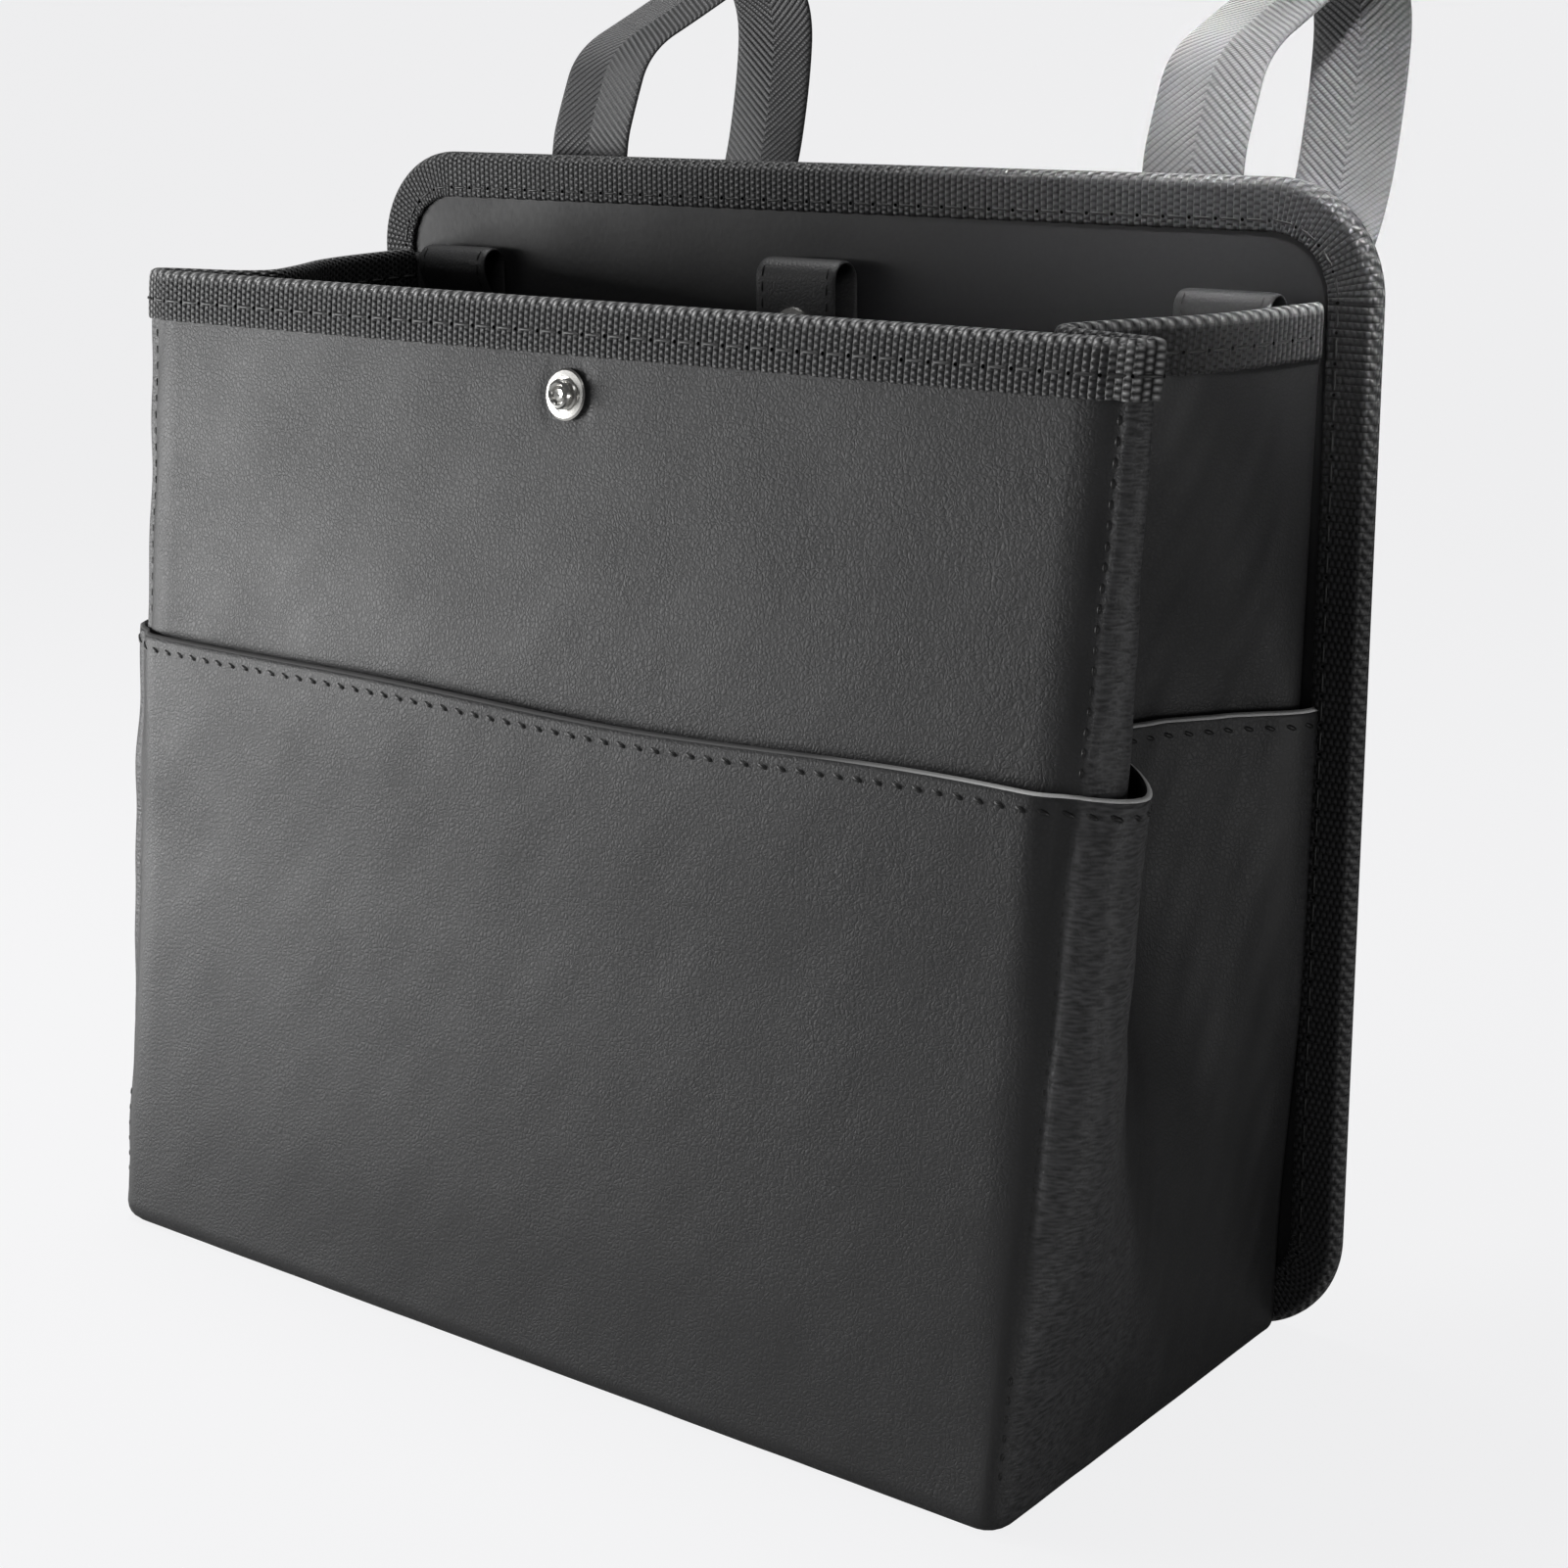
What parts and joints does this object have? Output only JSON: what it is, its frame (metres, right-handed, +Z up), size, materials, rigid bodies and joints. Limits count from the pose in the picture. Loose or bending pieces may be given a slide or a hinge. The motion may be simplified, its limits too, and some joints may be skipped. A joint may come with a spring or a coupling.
{
  "type": "car trash bin",
  "caption": "Collapsible leather bag bin with a stiff back panel, folding side gussets, a wrap-round outer pocket and buckled straps that hang it on a seat back.",
  "frame": {"origin": "middle of the leather base, on the surface that the bin stands on", "axes": "+Z up out of the open top, +Y towards the seat that the back panel lies against, +X to the right seen from the front"},
  "size_m": [0.3244, 0.2222, 0.3392],
  "materials": {
    "leather": "charcoal pebble-grain coated leather, satin",
    "lining": "dark woven lining",
    "board": "grey-brown stiffener board",
    "binding": "black ribbed polyester webbing, stitched",
    "strap_webbing": "dark grey herringbone webbing",
    "buckle_plastic": "moulded black plastic, fine texture",
    "nickel": "nickel-plated pressed steel"
  },
  "bodies": {
    "root": {"back_face_leather": "leather", "back_board": "board", "back_rear_leather": "leather", "back_binding": "binding", "body_sheet": "leather", "front_board": "board", "front_lining": "lining", "rim_binding": "binding", "pocket_sheet": "leather", "base_leather": "leather", "base_board": "board", "base_lining": "lining", "front_snap_stud": "nickel", "front_snap_post": "nickel", "loop_tab_left": "leather", "loop_tab_right": "leather", "closing_strap": "leather", "closing_snap_cap": "nickel", "closing_snap_socket": "nickel", "strap_left": "strap_webbing", "strap_right": "strap_webbing", "short_strap_left": "strap_webbing", "short_strap_right": "strap_webbing", "buckle_male_left": "buckle_plastic", "buckle_male_right": "buckle_plastic", "buckle_female_left": "buckle_plastic", "buckle_female_right": "buckle_plastic"}
  },
  "joints": []
}
